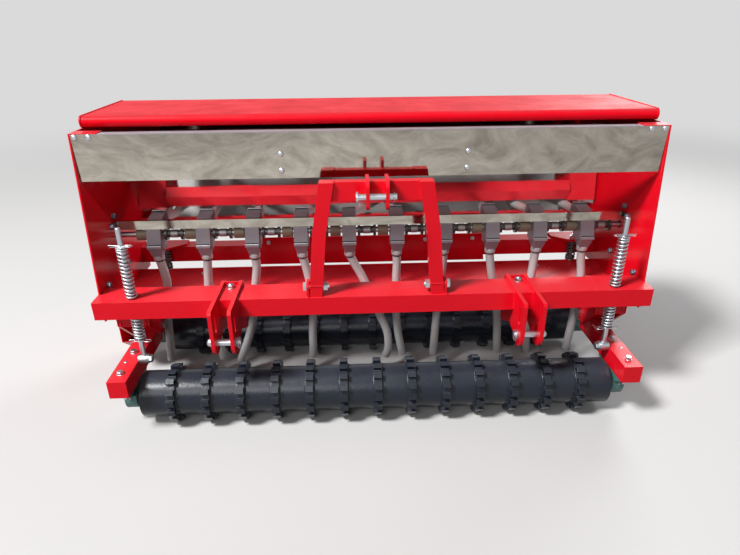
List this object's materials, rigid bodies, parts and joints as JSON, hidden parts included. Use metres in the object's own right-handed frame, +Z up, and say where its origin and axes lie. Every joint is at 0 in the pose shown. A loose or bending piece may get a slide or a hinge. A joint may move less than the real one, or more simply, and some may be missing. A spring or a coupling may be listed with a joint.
{
  "type": "mounted seed drill",
  "caption": "Three-point mounted seed drill: a full-width hopper with metered drop hoses between a front and a rear cogged packer roller.",
  "frame": {"origin": "on the ground below the centre of the machine's bounding box", "axes": "+X across the machine to the right in the picture, +Y back from the tractor's side, +Z up"},
  "size_m": [1.886, 0.64, 0.99],
  "materials": {
    "red_paint": "glossy powder coat",
    "mirror_sheet": "polished stainless sheet",
    "grey_casting": "satin grey",
    "zinc_plate": "bright zinc plate",
    "bronze_sleeve": "moulded, bronze brown",
    "teal_casting": "painted casting",
    "black_spring": "black paint",
    "black_roller": "gloss black paint with dust",
    "hose_pvc": "grey translucent hose"
  },
  "bodies": {
    "frame": {"main_beam": "red_paint", "rear_beam": "red_paint", "beam_angle": "red_paint", "hose_rail": "red_paint", "roller_shield": "red_paint", "rear_centre_plate": "red_paint", "side_plate_left": "red_paint", "side_plate_right": "red_paint", "hinge_brackets": "red_paint", "mast_legs": "red_paint", "mast_top_bar": "red_paint", "mast_feet": "red_paint", "top_link_clevis": "red_paint", "lower_hitch_left": "red_paint", "lower_hitch_right": "red_paint", "front_arms": "red_paint", "rear_arms": "red_paint", "arm_bracket_left": "red_paint", "arm_bracket_right": "red_paint", "spring_lugs": "red_paint", "chain_guard": "red_paint", "rate_adjuster": "red_paint", "hopper_front_panel": "mirror_sheet", "hopper_front_slope": "mirror_sheet", "hopper_rear_wall": "mirror_sheet", "hopper_channel": "mirror_sheet", "metering_cups": "grey_casting", "seed_funnels": "grey_casting", "mast_bolts": "zinc_plate", "top_link_pin": "zinc_plate", "lower_hitch_pins": "zinc_plate", "arm_pivots": "zinc_plate", "pressure_rods": "zinc_plate", "upper_springs": "zinc_plate", "lower_springs": "zinc_plate", "rear_rods": "zinc_plate", "front_bearings": "teal_casting", "rear_bearings": "teal_casting", "rear_springs": "black_spring", "hose_1": "hose_pvc", "hose_2": "hose_pvc", "hose_3": "hose_pvc", "hose_4": "hose_pvc", "hose_5": "hose_pvc", "hose_6": "hose_pvc", "hose_7": "hose_pvc", "hose_8": "hose_pvc", "hose_9": "hose_pvc", "hose_10": "hose_pvc"},
    "front_roller": {"front_drum": "black_roller", "front_stubs": "black_roller"},
    "rear_roller": {"rear_drum": "black_roller", "rear_stubs": "black_roller"},
    "metering": {"metering_shaft": "zinc_plate", "metering_sleeves": "bronze_sleeve", "metering_spools": "black_spring"},
    "lid": {"lid": "red_paint", "lid_hinge_straps": "red_paint"}
  },
  "joints": [
    {"name": "front_roller_turn", "type": "hinge", "parent": "frame", "child": "front_roller", "pos_m": [0, -0.203, 0.09753], "axis": [1, 0, 0], "continuous": true},
    {"name": "rear_roller_turn", "type": "hinge", "parent": "frame", "child": "rear_roller", "pos_m": [0, 0.212, 0.09753], "axis": [1, 0, 0], "continuous": true},
    {"name": "metering_turn", "type": "hinge", "parent": "frame", "child": "metering", "pos_m": [0, 0.07, 0.569], "axis": [1, 0, 0], "continuous": true},
    {"name": "lid_swing", "type": "hinge", "parent": "frame", "child": "lid", "pos_m": [0, 0.296, 0.952], "axis": [-1, 0, 0], "range_deg": [0, 100]}
  ],
  "couplings": [
    {"joint": "metering_turn", "follows": "rear_roller_turn", "ratio": 0.6}
  ]
}
